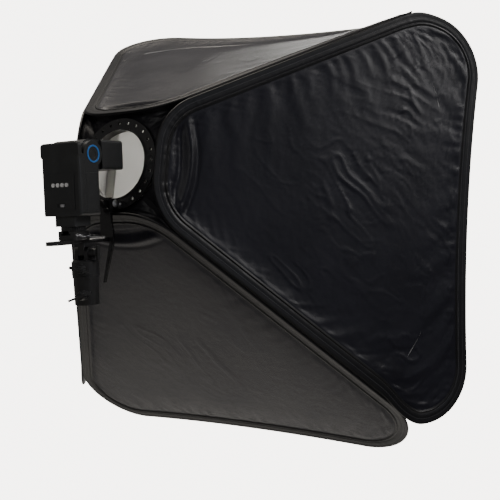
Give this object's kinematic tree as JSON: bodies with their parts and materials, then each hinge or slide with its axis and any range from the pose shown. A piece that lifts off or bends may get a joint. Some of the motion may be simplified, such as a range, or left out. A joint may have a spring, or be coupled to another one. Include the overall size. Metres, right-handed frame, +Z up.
{
  "type": "studio softbox",
  "caption": "Collapsible square studio softbox on a tilting speed-ring bracket, with its flash unit and a pan-and-tilt stand head.",
  "frame": {"origin": "centre of the stand socket's mouth, on the swivel head's lower face", "axes": "+Z up along the stand spigot, the softbox shines towards -Y, +X to the right when looking along +Y"},
  "size_m": [0.911, 0.7425, 0.8902],
  "materials": {
    "black_nylon": "woven nylon, slight sheen",
    "silver_lining": "silver-coated cloth",
    "black_tape": "woven binding tape",
    "spring_steel": "tempered flat wire",
    "white_diffusion": "thin white diffusion cloth",
    "elastic": "woven elastic",
    "black_paint": "gloss black",
    "zinc_steel": "zinc plated",
    "polished_metal": "polished",
    "cast_black": "semi-gloss black casting",
    "black_plastic": "moulded",
    "flash_plastic": "satin moulded",
    "panel_plastic": "printed panel",
    "grey_plastic": "moulded",
    "button_plastic": "moulded",
    "blue_plastic": "moulded ring",
    "cell_sleeve": "printed sleeve",
    "capacitor_can": "sleeved can",
    "board_green": "glass-epoxy board",
    "clear_lens": "ribbed clear panel",
    "reflector_bright": "bright",
    "tube_glass": "clear tube"
  },
  "bodies": {
    "stand_mount": {"stand_base": "cast_black"},
    "stand_clamp": {"stand_clamp_wing": "black_plastic"},
    "pan": {"pan_head": "cast_black", "tilt_bolt": "zinc_steel"},
    "pan_lock": {"pan_lock_wing": "black_plastic"},
    "tilt_lock": {"tilt_handle": "black_plastic"},
    "bracket": {"support_arm": "black_paint", "bracket_screws": "zinc_steel", "tilt_block": "cast_black", "hinge_pin": "zinc_steel"},
    "ring_lock": {"ring_lock_lever": "black_paint"},
    "softbox": {"panel_left": "black_nylon", "panel_top": "black_nylon", "panel_right": "black_nylon", "panel_bottom": "black_nylon", "lining_left": "silver_lining", "lining_top": "silver_lining", "lining_right": "silver_lining", "lining_bottom": "silver_lining", "sleeve_left": "black_tape", "sleeve_top": "black_tape", "sleeve_right": "black_tape", "sleeve_bottom": "black_tape", "hoop_left": "spring_steel", "hoop_top": "spring_steel", "hoop_right": "spring_steel", "hoop_bottom": "spring_steel", "corner_seams": "black_tape", "front_diffuser": "white_diffusion", "diffuser_band": "white_diffusion", "inner_baffle": "white_diffusion", "baffle_binding": "black_tape", "baffle_straps": "elastic", "back_collar": "black_tape", "speed_ring": "black_paint", "hinge_block": "black_paint", "hinge_screws": "zinc_steel"},
    "shoe": {"cold_shoe": "black_paint", "shoe_screw": "zinc_steel", "flash_foot": "flash_plastic", "front_shell": "flash_plastic", "rear_shell": "flash_plastic", "control_panel": "panel_plastic", "battery_cells": "cell_sleeve", "flash_capacitor": "capacitor_can", "circuit_board": "board_green", "pivot_rings": "blue_plastic"},
    "shoe_clamp": {"shoe_clamp_handle": "polished_metal"},
    "foot_lock": {"lock_wheel": "black_plastic"},
    "flash_head": {"head_shell": "flash_plastic", "head_lens": "clear_lens", "head_reflector": "reflector_bright", "flash_tube": "tube_glass", "head_axle": "flash_plastic"},
    "battery_cover": {"battery_door": "flash_plastic"},
    "power": {"power_switch": "grey_plastic"},
    "button_body_1": {"button_1": "button_plastic"},
    "button_body_2": {"button_2": "button_plastic"},
    "button_body_3": {"button_3": "button_plastic"},
    "button_body_4": {"button_4": "button_plastic"}
  },
  "joints": [
    {"name": "pan_turn", "type": "hinge", "parent": "stand_mount", "child": "pan", "pos_m": [0, 0, 0.055], "axis": [0, 0, 1], "range_deg": [-180, 180]},
    {"name": "stand_clamp_turn", "type": "hinge", "parent": "stand_mount", "child": "stand_clamp", "pos_m": [0, 0, 0.016], "axis": [-0.4226, 0.9063, 0], "range_deg": [-180, 180]},
    {"name": "pan_lock_turn", "type": "hinge", "parent": "pan", "child": "pan_lock", "pos_m": [0, 0, 0.057], "axis": [-0.4226, 0.9063, 0], "range_deg": [-180, 180]},
    {"name": "tilt_lock_turn", "type": "hinge", "parent": "pan", "child": "tilt_lock", "pos_m": [0, 0, 0.081], "axis": [1, 0, 0], "range_deg": [-90, 90]},
    {"name": "head_tilt", "type": "hinge", "parent": "pan", "child": "bracket", "pos_m": [0, 0, 0.081], "axis": [1, 0, 0], "range_deg": [-40, 14]},
    {"name": "ring_lock_turn", "type": "hinge", "parent": "bracket", "child": "ring_lock", "pos_m": [0, -0.05, 0.156], "axis": [0, 1, 0], "range_deg": [0, 90]},
    {"name": "ring_tilt", "type": "hinge", "parent": "bracket", "child": "softbox", "pos_m": [0, -0.0649, 0.156], "axis": [1, 0, 0], "range_deg": [-12.3, 5]},
    {"name": "shoe_slide", "type": "slide", "parent": "bracket", "child": "shoe", "axis": [0, 1, 0], "range_m": [-0.002, 0.036]},
    {"name": "shoe_clamp_turn", "type": "hinge", "parent": "shoe", "child": "shoe_clamp", "pos_m": [0, 0.0101, 0.1056], "axis": [1, 0, 0], "range_deg": [-180, 180]},
    {"name": "lock_wheel_turn", "type": "hinge", "parent": "shoe", "child": "foot_lock", "pos_m": [0, 0.0226, 0.119], "axis": [0, 0, 1], "range_deg": [-180, 180]},
    {"name": "head_raise", "type": "hinge", "parent": "shoe", "child": "flash_head", "pos_m": [0, 0.0136, 0.232], "axis": [-1, 0, 0], "range_deg": [0, 90]},
    {"name": "battery_door_open", "type": "hinge", "parent": "shoe", "child": "battery_cover", "pos_m": [-0.0385, 0.03115, 0.175], "axis": [0, 0, -1], "range_deg": [0, 100]},
    {"name": "power_slide", "type": "slide", "parent": "shoe", "child": "power", "axis": [1, 0, 0], "range_m": [0, 0.007]},
    {"name": "button_1_press", "type": "slide", "parent": "shoe", "child": "button_body_1", "axis": [0, -1, 0], "range_m": [0, 0.001], "stiffness_N_per_m": 250},
    {"name": "button_2_press", "type": "slide", "parent": "shoe", "child": "button_body_2", "axis": [0, -1, 0], "range_m": [0, 0.001], "stiffness_N_per_m": 250},
    {"name": "button_3_press", "type": "slide", "parent": "shoe", "child": "button_body_3", "axis": [0, -1, 0], "range_m": [0, 0.001], "stiffness_N_per_m": 250},
    {"name": "button_4_press", "type": "slide", "parent": "shoe", "child": "button_body_4", "axis": [0, -1, 0], "range_m": [0, 0.001], "stiffness_N_per_m": 250}
  ]
}
